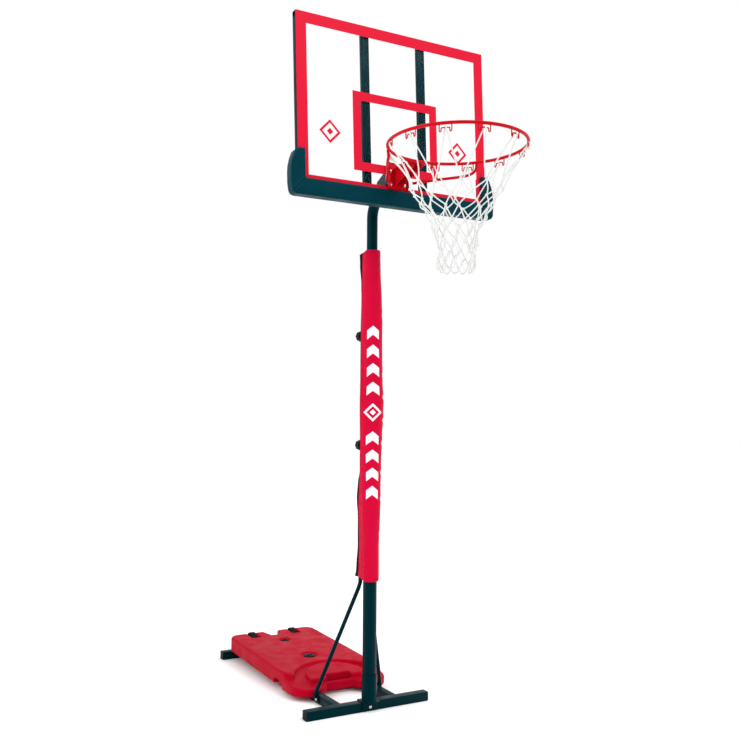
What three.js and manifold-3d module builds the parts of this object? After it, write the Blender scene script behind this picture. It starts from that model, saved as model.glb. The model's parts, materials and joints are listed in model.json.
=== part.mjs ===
// Portable basketball hoop: steel base with ballast tank, three-section pole, board, ring and net.
// Millimetres, +Z up. The origin is on the floor below the pole axis; the ring points to -Y.
import * as THREE from 'three';
import { mergeVertices } from 'three/addons/utils/BufferGeometryUtils.js';
import Module from 'manifold-3d';

const wasm = await Module();
wasm.setup();

// Base frame
const GAP = 0.3;
const BAR = 36;
const WALL = 2;
const CAP_T = 3;
const FRONT_BAR_L = 545;
const FRONT_BAR_Y = 13;
const REAR_BAR_L = 494;
const REAR_BAR_Y = 940;
const RAIL_X = 125;
const RAIL_W = 28;
const FOOT_BOLT_Z = 18;
const BOLT_D = 8;
const HOLE_D = 8.8;

// Braces
const BRACE_R = 8;
const BRACE_FOOT = [150, 168, 30];
const BRACE_TOP = [19, 42, 488];
const BRACE_END_Z = 566;
const CLAMP_Z = 535;

// Pole
const POLE_Z0 = 40.6;
const LOWER_R = 26.8;
const MIDDLE_R = 23.6;
const UPPER_R = 20.8;
const CHEEK_T = 2.5;
const LOWER_TOP = 1045;
const MIDDLE_Z0 = 600;
const MIDDLE_TOP = 1474;
const UPPER_Z0 = 1080;
const BEND_Z = 1904;
const BEND_R = 74;
const BEND_ANGLE = 1.05;
const BEND_RUN = 56;
const BEND_STEPS = 7;
const COLLAR_R = 30;
const COLLAR_H = 46;
const LOWER_KNOB_Z = 1027;
const UPPER_KNOB_Z = 1456;
const KNOB_R = 21;
const KNOB_Y = 64;

// Pole padding
const PADDING_Z0 = 504;
const PADDING_H = 1276;
const PADDING_IN = 31.5;
const PADDING_T = 7;
const PADDING_BACK = 34;
const STRAP_Z = [610, 900, 1300];

// Ballast tank: a slab that rises to the rear, where it lies on the rear crossbar, and a lower front deck
const TANK_TILT = 0.034;
const TANK_MIDDLE = [630, 97];
const TANK_T = 68;
const TANK_BOTTOM = 18;
const TANK_HALF = 214;
const TANK_REAR = 940;
const TANK_FRONT = 428;
const EDGE_R = 8;
const STEP_Y = 232;
const STEP_R = 190;
const LOBE_X = 137;
const LOBE_Y = 264;
const LOBE_R = 80;
const DECK_SLOPE = 0.129;
const DECK_Z = 48;
const HUB_R = 132;
const HUB_Y = 255;
const HUB_RISE = 20;
const HANDLE_HALF = 58;
const CAP_SEATS = [[0, 519, 39, 26], [0, 776, 29, 20]];
const WHEEL_X = 104;
const WHEEL_Y = 918;
const WHEEL_Z = 82;
const WHEEL_R = 33;
const WHEEL_W = 27;
const SLOT_HALF = 21;
const SLOT_FRONT = 858;

// Board
const BOARD_Y = -176;
const BOARD_LEAN = 0.056;
const BOARD_W = 808;
const BOARD_Z0 = 1944;
const BOARD_H = 619;
const PANEL_T = 4;
const FRAME_W = 20;
const FRAME_D = 20;
const STRUT_X = 121;
const STRUT_W = 30;
const EDGE_PAD_IN = 379;
const EDGE_PAD_OUT = 436;
const EDGE_PAD_Z0 = 1909;
const EDGE_PAD_LIP = 1970;
const EDGE_PAD_TOP = 2074;

// Ring
const RING_Z = 2045;
const RING_Y = -552;
const RING_R = 231;
const RING_WIRE = 5.4;
const CLIPS = 12;
const RING_BOLTS = [[-30.5, -6], [30.5, -6], [-30.5, -52], [30.5, -52]];
const NET_PROFILE = [[222, -16], [190, -90], [148, -160], [106, -210], [80, -262], [68, -310], [58, -428]];

const STEEL = ['#003a42', 0.42, 0.35];
const BLACK = ['#17191b', 0.6, 0];
const ZINC = ['#b9bfc4', 0.35, 0.9];
const RED_STEEL = ['#d01526', 0.4, 0.2];
const RED_PLASTIC = ['#cf1f3c', 0.5, 0];
const RED_COVER = ['#dd1c3a', 0.55, 0];
const FOAM = ['#003f47', 0.6, 0];
const CLEAR = ['#eef3f5', 0.08, 0];
const CORD = ['#f2f2ef', 0.85, 0];

function solid(geometry) {
  const bare = geometry.clone();
  bare.deleteAttribute('normal');
  bare.deleteAttribute('uv');
  const merged = mergeVertices(bare, 1e-4);
  return new wasm.Manifold(new wasm.Mesh({
    numProp: 3,
    vertProperties: new Float32Array(merged.attributes.position.array),
    triVerts: new Uint32Array(merged.index.array),
  }));
}

function geometryOf(manifold) {
  const mesh = manifold.getMesh();
  const geometry = new THREE.BufferGeometry();
  geometry.setAttribute('position', new THREE.BufferAttribute(mesh.vertProperties, 3));
  geometry.setIndex(new THREE.BufferAttribute(mesh.triVerts, 1));
  geometry.computeVertexNormals();
  return geometry;
}

function shape(add, remove = []) {
  let body = solid(add[0]);
  for (const piece of add.slice(1)) {
    body = body.add(solid(piece));
  }
  for (const piece of remove) {
    body = body.subtract(solid(piece));
  }
  return geometryOf(body);
}

function mesh(parent, name, geometry, look, place = [0, 0, 0], turn = [0, 0, 0]) {
  const [color, roughness, metalness] = look;
  const item = new THREE.Mesh(geometry, new THREE.MeshStandardMaterial({ color, roughness, metalness }));
  item.name = name;
  item.position.set(...place);
  item.rotation.set(...turn);
  parent.add(item);
}

// A box from its two opposite corners.
function box(x0, x1, y0, y1, z0, z1) {
  const geometry = new THREE.BoxGeometry(x1 - x0, y1 - y0, z1 - z0);
  return geometry.translate((x0 + x1) / 2, (y0 + y1) / 2, (z0 + z1) / 2);
}

// A cylinder around the X, Y or Z axis from one end position to the other.
function rod(axis, radius, from, to, at = [0, 0], sides = 16) {
  const geometry = new THREE.CylinderGeometry(radius, radius, Math.abs(to - from), sides);
  const mid = (from + to) / 2;
  if (axis === 'x') {
    return geometry.rotateZ(Math.PI / 2).translate(mid, at[0], at[1]);
  }
  if (axis === 'y') {
    return geometry.translate(at[0], mid, at[1]);
  }
  return geometry.rotateX(Math.PI / 2).translate(at[0], at[1], mid);
}

function tube(outer, inner, from, to, sides = 32) {
  const profile = [[inner, from], [outer, from], [outer, to], [inner, to], [inner, from]];
  return lathe(profile, sides);
}

// A turned piece around the Z axis from [radius, height] pairs.
function lathe(profile, sides = 32) {
  const points = profile.map(([r, z]) => new THREE.Vector2(r, z));
  return new THREE.LatheGeometry(points, sides).rotateX(Math.PI / 2);
}

function outline(points) {
  return new THREE.Shape(points.map(([x, y]) => new THREE.Vector2(x, y)));
}

function extrude(profile, depth, bevel = 0, segments = 3, curve = 10) {
  return new THREE.ExtrudeGeometry(profile, {
    depth: depth - 2 * bevel,
    bevelEnabled: bevel > 0,
    bevelThickness: bevel,
    bevelSize: bevel,
    bevelOffset: -bevel,
    bevelSegments: segments,
    curveSegments: curve,
  }).translate(0, 0, bevel);
}

// A profile drawn in the XZ plane, thickened from y0 towards the back.
function upright(profile, y0, depth, bevel = 0) {
  const geometry = extrude(profile, depth, bevel);
  return geometry.rotateX(Math.PI / 2).translate(0, y0 + depth, 0);
}

function circle(radius, sides) {
  const points = [];
  for (let i = 0; i < sides; i += 1) {
    const a = (i / sides) * 2 * Math.PI;
    points.push([radius * Math.cos(a), radius * Math.sin(a)]);
  }
  return outline(points);
}

function wire(points, radius, steps, sides = 12, tension = 0.5) {
  const stops = points.map((p) => new THREE.Vector3(...p));
  const path = new THREE.CatmullRomCurve3(stops, false, 'catmullrom', tension);
  return new THREE.ExtrudeGeometry(circle(radius, sides), { steps, bevelEnabled: false, extrudePath: path });
}

function sides(build) {
  build('left', -1);
  build('right', 1);
}

const hoop = new THREE.Group();
const base = new THREE.Group();
const middle = new THREE.Group();
const upper = new THREE.Group();
hoop.add(base, middle, upper);

// ---- base frame ----

function crossbar(length, holes) {
  const half = length / 2 - CAP_T - GAP;
  const h = BAR / 2;
  const bore = box(-length, length, -h + WALL, h - WALL, -h + WALL, h - WALL);
  const drilled = holes ? [rod('y', HOLE_D / 2, -BAR, BAR)] : [];
  return shape([box(-half, half, -h, h, -h, h)], [bore, ...drilled]);
}

function endCap() {
  const h = BAR / 2;
  const plug = h - WALL - GAP;
  const rim = outline([
    [-h, -h + 4], [-h + 4, -h], [h - 4, -h], [h, -h + 4],
    [h, h - 2], [h - 2, h], [-h + 2, h], [-h, h - 2],
  ]);
  return shape([extrude(rim, CAP_T), box(-plug, plug, -plug, plug, -14, 1)]);
}

function addBar(label, length, y, holes) {
  const group = new THREE.Group();
  group.position.set(0, y, BAR / 2);
  base.add(group);
  mesh(group, `${label}_crossbar`, crossbar(length, holes), STEEL);
  sides((side, s) => {
    const place = [s * (length / 2 - CAP_T), 0, 0];
    mesh(group, `${label}_end_cap_${side}`, endCap(), BLACK, place, [0, s * Math.PI / 2, 0]);
  });
}

function rail(s) {
  const x0 = s * RAIL_X - RAIL_W / 2;
  const x1 = s * RAIL_X + RAIL_W / 2;
  const y0 = FRONT_BAR_Y + BAR / 2 + GAP;
  const y1 = REAR_BAR_Y - BAR / 2 - GAP;
  const body = box(x0, x1, y0, y1, 0.2, BAR);
  const bore = box(x0 + WALL, x1 - WALL, 0, y1 + 20, WALL, BAR - WALL);
  return shape([body], [bore, rod('x', HOLE_D / 2, s * 130, s * 150, [BRACE_FOOT[1], FOOT_BOLT_Z])]);
}

function poleFoot() {
  const y0 = FRONT_BAR_Y - BAR / 2 - GAP;
  const y1 = FRONT_BAR_Y + BAR / 2 + GAP;
  const top = BAR + GAP;
  const plate = outline([[-34, -24], [-26, -31], [26, -31], [34, -24], [34, y1 + 4], [-34, y1 + 4]]);
  const cover = extrude(plate, 4).translate(0, 0, top);
  const legs = [box(-34, 34, y0 - 4, y0, 5, top + 2), box(-34, 34, y1, y1 + 4, 5, top + 2)];
  const socket = tube(29.6, LOWER_R + GAP, top + 3, 145);
  return shape([cover, ...legs, socket], [rod('y', HOLE_D / 2, -20, 50, [0, FOOT_BOLT_Z])]);
}

// A bolt along its axis with a domed head at the near end and a nut at the far end.
function bolt(length, nutAt, headR = 7) {
  const r = BOLT_D / 2;
  const head = lathe([
    [0, -5], [headR * 0.6, -4.4], [headR, -2.4], [headR, 0], [r, 0], [r, length], [0, length],
  ], 12);
  const nut = new THREE.CylinderGeometry(6.6, 6.6, 6, 6).rotateX(Math.PI / 2).translate(0, 0, nutAt + 3);
  return shape([head, nut]);
}

function brace(s) {
  const [fx, fy, fz] = BRACE_FOOT;
  const [tx, ty, tz] = BRACE_TOP;
  const points = [
    [s * fx, fy, fz], [s * (fx - 2), fy - 3, fz + 14], [s * (tx + 6), ty + 5, tz - 20],
    [s * tx, ty, tz], [s * tx, ty, tz + 20], [s * tx, ty, BRACE_END_Z],
  ];
  const leg = wire(points, BRACE_R, 24, 12, 0.15);
  const face = s * (RAIL_X + RAIL_W / 2 + GAP);
  const tab = box(Math.min(face, face + s * 5), Math.max(face, face + s * 5), fy - 15, fy + 13, 4, 47);
  const neck = box(Math.min(face, s * (fx + 5)), Math.max(face, s * (fx + 5)), fy - 7, fy + 6, 26, 46);
  const holes = [
    rod('x', HOLE_D / 2, s * 130, s * 170, [fy, FOOT_BOLT_Z]),
    rod('x', HOLE_D / 2, s * 5, s * 45, [ty, CLAMP_Z]),
  ];
  return shape([leg, tab, neck], holes);
}

function braceClamp() {
  const band = tube(LOWER_R + GAP + 2.6, LOWER_R + GAP, CLAMP_Z - 18, CLAMP_Z + 18);
  const lug = box(-10.5, 10.5, LOWER_R + 1.5, 52, CLAMP_Z - 16, CLAMP_Z + 16);
  return shape([band, lug], [rod('x', HOLE_D / 2, -20, 20, [BRACE_TOP[1], CLAMP_Z])]);
}

addBar('front', FRONT_BAR_L, FRONT_BAR_Y, true);
addBar('rear', REAR_BAR_L, REAR_BAR_Y, false);
mesh(base, 'pole_foot', poleFoot(), STEEL);
const footBoltY = FRONT_BAR_Y - BAR / 2 - 4.6;
mesh(base, 'foot_bolt', bolt(53, 45), ZINC, [0, footBoltY, FOOT_BOLT_Z], [-Math.PI / 2, 0, 0]);
sides((side, s) => {
  mesh(base, `side_rail_${side}`, rail(s), STEEL);
  mesh(base, `brace_${side}`, brace(s), STEEL);
  const place = [s * (RAIL_X + RAIL_W / 2 + 5 + 2 * GAP), BRACE_FOOT[1], FOOT_BOLT_Z];
  mesh(base, `brace_bolt_${side}`, bolt(16, 8), ZINC, place, [0, -s * Math.PI / 2, 0]);
});
mesh(base, 'brace_clamp', braceClamp(), STEEL);
const topBoltX = -BRACE_TOP[0] - BRACE_R - 0.5;
mesh(base, 'brace_top_bolt', bolt(63, 55), ZINC, [topBoltX, BRACE_TOP[1], CLAMP_Z], [0, Math.PI / 2, 0]);

// ---- ballast tank ----

function slabOutline() {
  const r = 45;
  const w = TANK_HALF;
  const plan = new THREE.Shape();
  const reach = Math.sqrt(STEP_R ** 2 - 178 ** 2);
  const turn = Math.atan2(reach, 178);
  plan.moveTo(-w, TANK_FRONT);
  plan.lineTo(-206, 340);
  plan.lineTo(-178, STEP_Y + reach);
  plan.absarc(0, STEP_Y, STEP_R, Math.PI - turn, turn, true);
  plan.lineTo(206, 340);
  plan.lineTo(w, TANK_FRONT);
  plan.absarc(w - r, TANK_REAR - r, r, 0, Math.PI / 2, false);
  for (const [x, y] of [[36, TANK_REAR], [20, 872], [-20, 872], [-36, TANK_REAR]]) {
    plan.lineTo(x, y);
  }
  plan.absarc(-w + r, TANK_REAR - r, r, Math.PI / 2, Math.PI, false);
  return plan;
}

function lobeOutline() {
  const plan = new THREE.Shape();
  const drop = -31;
  const inner = Math.asin(drop / LOBE_R);
  plan.moveTo(-180, 440);
  plan.lineTo(-192, 376);
  plan.lineTo(-214, 336);
  plan.absarc(-LOBE_X, LOBE_Y, LOBE_R, Math.PI, 2 * Math.PI + inner, false);
  plan.absarc(LOBE_X, LOBE_Y, LOBE_R, Math.PI - inner, 2 * Math.PI, false);
  plan.lineTo(214, 336);
  plan.lineTo(192, 376);
  plan.lineTo(180, 440);
  return plan;
}

function hubOutline() {
  const plan = new THREE.Shape();
  const low = Math.asin(-17 / HUB_R);
  plan.absarc(0, HUB_Y, HUB_R, low, Math.PI - low, false);
  return plan;
}

// Lays a plan outline so that its rounded top follows the sloping front deck.
function onDeck(plan, rise) {
  const block = extrude(plan, 110, EDGE_R, 2, 7).translate(0, -(LOBE_Y - LOBE_R), -110);
  return block.rotateX(Math.atan(DECK_SLOPE)).translate(0, LOBE_Y - LOBE_R, DECK_Z + rise);
}

// The height of the slab's top at a distance y from the pole.
function tankTop(y) {
  return TANK_MIDDLE[1] + (y - TANK_MIDDLE[0]) * Math.tan(TANK_TILT);
}

function slab() {
  const level = extrude(slabOutline(), TANK_T, EDGE_R, 2, 6).translate(0, -TANK_MIDDLE[0], -TANK_T);
  return level.rotateX(TANK_TILT).translate(0, ...TANK_MIDDLE);
}

function tank() {
  const grip = outline([
    [-HANDLE_HALF, 250], [-HANDLE_HALF + 4, 246], [HANDLE_HALF - 4, 246], [HANDLE_HALF, 250],
    [HANDLE_HALF, 264], [HANDLE_HALF - 4, 268], [-HANDLE_HALF + 4, 268], [-HANDLE_HALF, 264],
  ]);
  const cuts = [
    box(-400, 400, 100, 600, -200, TANK_BOTTOM),
    extrude(grip, 200),
    box(-HANDLE_HALF, HANDLE_HALF, 200, 247, 56, 120),
    box(-300, 300, REAR_BAR_Y - BAR / 2 - 0.5, REAR_BAR_Y + BAR / 2 + 0.5, 0, BAR + GAP),
  ];
  sides((side, s) => {
    const x = s * RAIL_X;
    cuts.push(box(x - RAIL_W / 2 - 0.5, x + RAIL_W / 2 + 0.5, 100, REAR_BAR_Y, 0, BAR + GAP));
    cuts.push(box(s * 213 - 27, s * 213 + 27, 384, 426, 0, 46));
    cuts.push(box(s * WHEEL_X - SLOT_HALF, s * WHEEL_X + SLOT_HALF, SLOT_FRONT, 1100, 0, 200));
    cuts.push(rod('x', 4.4, s * WHEEL_X - 30, s * WHEEL_X + 30, [WHEEL_Y, WHEEL_Z]));
  });
  for (const [x, y, seatR, capR] of CAP_SEATS) {
    cuts.push(rod('z', seatR, tankTop(y) - 7, tankTop(y) + 10, [x, y], 28));
    cuts.push(rod('z', capR - 8, tankTop(y) - 24, tankTop(y), [x, y], 28));
  }
  return shape([slab(), onDeck(lobeOutline(), 0), onDeck(hubOutline(), HUB_RISE)], cuts);
}

function plug(radius) {
  const r = radius - 0.8;
  const neck = radius - 8.6;
  const body = lathe([[0, -16], [neck, -16], [neck, GAP], [r, GAP], [r, 4], [r - 1.5, 5], [0, 5]], 28);
  const grip = box(-r * 0.62, r * 0.62, -3, 3, 4, 8.5);
  return shape([body, grip]);
}

function wheel() {
  const h = WHEEL_W / 2;
  return lathe([
    [4.6, -h], [13, -h], [14, -h + 4], [WHEEL_R - 7, -h + 4], [WHEEL_R - 6, -h], [WHEEL_R - 2, -h],
    [WHEEL_R, -h + 2.5], [WHEEL_R, h - 2.5], [WHEEL_R - 2, h], [WHEEL_R - 6, h], [WHEEL_R - 7, h - 4],
    [14, h - 4], [13, h], [4.6, h], [4.6, -h],
  ], 26);
}

mesh(base, 'ballast_tank', tank(), RED_PLASTIC);
['filler', 'drain'].forEach((label, i) => {
  const [x, y, , capR] = CAP_SEATS[i];
  mesh(base, `${label}_cap`, plug(capR), BLACK, [x, y, tankTop(y) - 7], [0, 0, 0.5]);
});
sides((side, s) => {
  const place = [s * WHEEL_X, WHEEL_Y, WHEEL_Z];
  mesh(base, `wheel_${side}`, wheel(), BLACK, place, [0, Math.PI / 2, 0]);
  mesh(base, `axle_${side}`, rod('x', 4.1, -29.5, 29.5), ZINC, place);
});

// ---- pole ----

function section(radius, from, to, holeZ) {
  return shape([tube(radius, radius - WALL, from, to)], holeZ ? [rod('y', 5.2, 5, 60, [0, holeZ])] : []);
}

// A clamping collar with a boss for the knob stud, its lower half closed over the pole end.
function collar(poleR, innerR, z0, endZ) {
  const studZ = z0 + COLLAR_H / 2 - 3;
  const body = tube(COLLAR_R, innerR + GAP, z0, z0 + COLLAR_H);
  const boss = rod('y', 10, innerR + 1, 44, [0, studZ]);
  const cuts = [
    rod('z', poleR + GAP, z0 - 5, endZ + GAP, [0, 0], 32),
    rod('z', innerR + GAP, z0 - 5, z0 + COLLAR_H + 5, [0, 0], 32),
    rod('y', 5.2, 5, 60, [0, studZ]),
  ];
  return shape([body, boss], cuts);
}

function knob(innerR) {
  const lobes = [];
  for (let i = 0; i < 32; i += 1) {
    const a = (i / 32) * 2 * Math.PI;
    const r = KNOB_R - 1.2 + 1.2 * Math.cos(8 * a);
    lobes.push([r * Math.cos(a), r * Math.sin(a)]);
  }
  const head = extrude(outline(lobes), 28, 2, 1).translate(0, 0, KNOB_Y);
  return shape([head, rod('z', 4.6, innerR + GAP, KNOB_Y + 4)]);
}

function headEnd() {
  const a = BEND_ANGLE;
  const y = -BEND_R * (1 - Math.cos(a)) - BEND_RUN * Math.sin(a);
  const z = BEND_Z + BEND_R * Math.sin(a) + BEND_RUN * Math.cos(a);
  return [y, z];
}

function sweepRings(radius, count, extend) {
  const rings = [[0, UPPER_Z0 - extend, 0]];
  for (let i = 0; i <= BEND_STEPS; i += 1) {
    const a = (i / BEND_STEPS) * BEND_ANGLE;
    rings.push([-BEND_R * (1 - Math.cos(a)), BEND_Z + BEND_R * Math.sin(a), a]);
  }
  const [y, z] = headEnd();
  rings.push([y - extend * Math.sin(BEND_ANGLE), z + extend * Math.cos(BEND_ANGLE), BEND_ANGLE]);
  const position = [];
  for (const [cy, cz, a] of rings) {
    for (let k = 0; k < count; k += 1) {
      const b = (k / count) * 2 * Math.PI;
      const out = radius * Math.sin(b);
      position.push(radius * Math.cos(b), cy + out * Math.cos(a), cz + out * Math.sin(a));
    }
  }
  return { position, rings };
}

// A bent round bar following the upper pole, closed at both ends.
function bentBar(radius, count, extend) {
  const { position, rings } = sweepRings(radius, count, extend);
  const index = [];
  for (let i = 0; i + 1 < rings.length; i += 1) {
    for (let k = 0; k < count; k += 1) {
      const a = i * count + k;
      const b = i * count + ((k + 1) % count);
      index.push(a, b, b + count, a, b + count, a + count);
    }
  }
  const last = (rings.length - 1) * count;
  for (let k = 1; k + 1 < count; k += 1) {
    index.push(0, k + 1, k, last, last + k, last + k + 1);
  }
  const geometry = new THREE.BufferGeometry();
  geometry.setAttribute('position', new THREE.Float32BufferAttribute(position, 3));
  geometry.setIndex(index);
  return geometry;
}

// The cross bolt near the pole's head, on which the board carrier hangs.
function carrierPin() {
  const [y, z] = headEnd();
  return [y + 20, z - 12];
}

function upperPole() {
  const pin = rod('x', HOLE_D / 2, -40, 40, carrierPin());
  return shape([bentBar(UPPER_R, 28, 0)], [bentBar(UPPER_R - WALL, 28, 20), pin]);
}

mesh(base, 'lower_pole', section(LOWER_R, POLE_Z0, LOWER_TOP, LOWER_KNOB_Z), STEEL);
mesh(base, 'lower_collar', collar(LOWER_R, MIDDLE_R, LOWER_KNOB_Z - 20, LOWER_TOP), BLACK);
mesh(base, 'lower_knob', knob(MIDDLE_R), BLACK, [0, 0, LOWER_KNOB_Z], [-Math.PI / 2, 0, 0]);
mesh(middle, 'middle_pole', section(MIDDLE_R, MIDDLE_Z0, MIDDLE_TOP, UPPER_KNOB_Z), STEEL);
mesh(middle, 'middle_collar', collar(MIDDLE_R, UPPER_R, UPPER_KNOB_Z - 20, MIDDLE_TOP), BLACK);
mesh(middle, 'upper_knob', knob(UPPER_R), BLACK, [0, 0, UPPER_KNOB_Z], [-Math.PI / 2, 0, 0]);
mesh(upper, 'upper_pole', upperPole(), STEEL);

// ---- pole padding ----

function paddingOutline() {
  const outer = PADDING_IN + PADDING_T;
  const plan = new THREE.Shape();
  plan.moveTo(outer, PADDING_BACK);
  plan.lineTo(PADDING_IN, PADDING_BACK);
  plan.absarc(0, 0, PADDING_IN, 0, Math.PI, true);
  plan.lineTo(-PADDING_IN, PADDING_BACK);
  plan.lineTo(-outer, PADDING_BACK);
  plan.absarc(0, 0, outer, Math.PI, 2 * Math.PI, false);
  return plan;
}

function strap() {
  const half = PADDING_IN - 1;
  return box(-half, half, PADDING_BACK - 5, PADDING_BACK - 2.5, -19, 19);
}

const padding = extrude(paddingOutline(), PADDING_H, 3, 2, 10);
mesh(base, 'pole_padding', padding, RED_COVER, [0, 0, PADDING_Z0]);
['lower', 'middle', 'upper'].forEach((label, i) => {
  mesh(base, `padding_strap_${label}`, strap(), BLACK, [0, 0, STRAP_Z[i]]);
});

// ---- board ----

// The board group is drawn upright and leans back about the ring's height on the board's face.
const leaning = new THREE.Group();
leaning.position.set(0, BOARD_Y, RING_Z);
leaning.rotation.x = -BOARD_LEAN;
upper.add(leaning);
const board = new THREE.Group();
board.position.set(0, -BOARD_Y, -RING_Z);
leaning.add(board);

// Turns a [y, z] point about the same line; a negative angle takes it into the upright drawing.
function lean([y, z], angle = BOARD_LEAN) {
  const dy = y - BOARD_Y;
  const dz = z - RING_Z;
  const c = Math.cos(angle);
  const s = Math.sin(angle);
  return [BOARD_Y + dy * c + dz * s, RING_Z - dy * s + dz * c];
}

function leanGeometry(geometry) {
  geometry.translate(0, -BOARD_Y, -RING_Z).rotateX(-BOARD_LEAN);
  return geometry.translate(0, BOARD_Y, RING_Z);
}

function panel() {
  const half = BOARD_W / 2;
  const plate = box(-half, half, BOARD_Y, BOARD_Y + PANEL_T, BOARD_Z0, BOARD_Z0 + BOARD_H);
  return shape([plate], boltHoles());
}

function boltHoles() {
  return RING_BOLTS.map(([x, z]) => rod('y', HOLE_D / 2, BOARD_Y - 20, BOARD_Y + 40, [x, RING_Z + z]));
}

// A rectangular tube standing behind the panel, hollow along its length.
function member(x0, x1, z0, z1, depth, along) {
  const y0 = BOARD_Y + PANEL_T + GAP;
  const reach = along === 'x' ? 500 : 0;
  const rise = along === 'z' ? 700 : 0;
  const bore = box(
    x0 + WALL - reach, x1 - WALL + reach, y0 + WALL, y0 + depth - WALL, z0 + WALL - rise, z1 - WALL + rise,
  );
  return shape([box(x0, x1, y0, y0 + depth, z0, z1)], [bore]);
}

function carrier() {
  const y0 = BOARD_Y + PANEL_T + GAP;
  const low = BOARD_Z0 + FRAME_W + GAP;
  const face = outline([
    [-66, low], [66, low], [66, low + 8], [40, low + 34],
    [40, 2076], [-40, 2076], [-40, low + 34], [-66, low + 8],
  ]);
  const [ey, ez] = lean(headEnd(), -BOARD_LEAN);
  const [py, pz] = lean(carrierPin(), -BOARD_LEAN);
  const lip = EDGE_PAD_LIP + 1.5;
  const cheek = outline([
    [y0 + 4, lip], [y0 + 42, lip], [y0 + 62, lip - 22], [ey + 46, lip - 22],
    [ey + 50, lip + 4], [ey + 10, ez + 30], [y0 + 4, 2070],
  ]);
  const cheeks = [-1, 1].map((s) => {
    const inside = s * (UPPER_R + GAP);
    const plate = extrude(cheek, CHEEK_T).rotateX(Math.PI / 2).rotateZ(Math.PI / 2);
    return plate.translate(s > 0 ? inside : inside - CHEEK_T, 0, 0);
  });
  const pin = rod('x', HOLE_D / 2, -60, 60, [py, pz]);
  return shape([upright(face, y0, 6), ...cheeks], [...boltHoles(), pin]);
}

function edgePadOutline() {
  const i = EDGE_PAD_IN;
  const o = EDGE_PAD_OUT;
  const low = EDGE_PAD_Z0;
  const top = EDGE_PAD_TOP;
  const right = [
    [i, EDGE_PAD_LIP], [i, top], [i + 25, top], [i + 39, top - 11], [o - 8, top - 36],
    [o - 2, top - 62], [o, top - 88], [o, low + 46], [o - 3, low + 17], [o - 9, low + 5], [o - 20, low],
  ];
  const left = right.map(([x, z]) => [-x, z]).reverse();
  return outline([...right, ...left]);
}

function edgePad() {
  const half = BOARD_W / 2 + GAP;
  const y0 = BOARD_Y - GAP;
  const y1 = BOARD_Y + PANEL_T + GAP + FRAME_D + GAP;
  const block = upright(edgePadOutline(), BOARD_Y - 12, 41, 4);
  return shape([block], [box(-half, half, y0, y1, BOARD_Z0 - GAP, 3000)]);
}

const bw = BOARD_W / 2;
const bt = BOARD_Z0 + BOARD_H;
const inner = bw - FRAME_W - GAP;
mesh(board, 'acrylic_panel', panel(), CLEAR);
mesh(board, 'frame_top', member(-bw, bw, bt - FRAME_W, bt, FRAME_D, 'x'), STEEL);
mesh(board, 'frame_bottom', member(-bw, bw, BOARD_Z0, BOARD_Z0 + FRAME_W, FRAME_D, 'x'), STEEL);
sides((side, s) => {
  const low = BOARD_Z0 + FRAME_W + GAP;
  const high = bt - FRAME_W - GAP;
  const x0 = Math.min(s * bw, s * (bw - FRAME_W));
  mesh(board, `frame_${side}`, member(x0, x0 + FRAME_W, low, high, FRAME_D, 'z'), STEEL);
  const sx = s * STRUT_X - STRUT_W / 2;
  mesh(board, `strut_${side}`, member(sx, sx + STRUT_W, low, high, 18, 'z'), STEEL);
});
mesh(board, 'board_carrier', carrier(), STEEL);
mesh(board, 'edge_pad', edgePad(), FOAM);
const pinX = -UPPER_R - CHEEK_T - 3 * GAP;
mesh(upper, 'carrier_bolt', bolt(59, 50), ZINC, [pinX, ...carrierPin()], [0, Math.PI / 2, 0]);

// ---- ring ----

function ringBracket() {
  const face = BOARD_Y - GAP;
  const front = RING_Y + RING_R + RING_WIRE + GAP;
  const tray = outline([[-20, face - 2], [20, face - 2], [48, front], [-48, front]]);
  const web = outline([
    lean([face - 2, RING_Z - 60]), [front, RING_Z - 18], [front, RING_Z], [face - 2, RING_Z],
  ]);
  const pieces = [
    leanGeometry(box(-43, 43, face - 4, face, RING_Z - 70, RING_Z + 24)),
    extrude(tray, 4).translate(0, 0, RING_Z - 2),
  ];
  for (const s of [-1, 1]) {
    const x = s * 41.5;
    pieces.push(leanGeometry(box(x - 1.5, x + 1.5, face - 20, face - 2, RING_Z - 70, RING_Z + 24)));
    const gusset = extrude(web, 3).rotateX(Math.PI / 2).rotateZ(Math.PI / 2);
    pieces.push(gusset.translate(s * 15.5 - 1.5, 0, 0));
  }
  return shape(pieces, boltHoles().map(leanGeometry));
}

// One bent-wire net hook below the ring, at the given angle.
function clip(angle) {
  const half = [[19.5, -3], [19.5, -22], [16.5, -28], [13.5, -22], [13, -15]];
  const line = [...half, ...half.map(([t, z]) => [-t, z]).reverse()];
  return wire(line.map(([t, z]) => [RING_R, t, z]), 2, 24, 4).rotateZ(angle);
}

function ring() {
  const pieces = [new THREE.TorusGeometry(RING_R, RING_WIRE, 8, 60)];
  for (let i = 0; i < CLIPS; i += 1) {
    pieces.push(clip(((i + 0.5) / CLIPS) * 2 * Math.PI));
  }
  return shape(pieces);
}

// A side stay from the bracket out to the ring.
function stay(s) {
  const path = [
    [49, 366, -42], [62, 346, -42], [107, 267, -42], [164, 174, -42], [180, 142, -29], [184.5, 139, -7.4],
  ];
  return wire(path.map(([x, y, z]) => [s * x, y, z]), 5, 24, 8, 0.4);
}

function net() {
  const outer = NET_PROFILE;
  const inside = outer.map(([r, z]) => [r - 4, z]).reverse();
  return lathe([...outer, ...inside, outer[0]].reverse(), 28);
}

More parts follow.
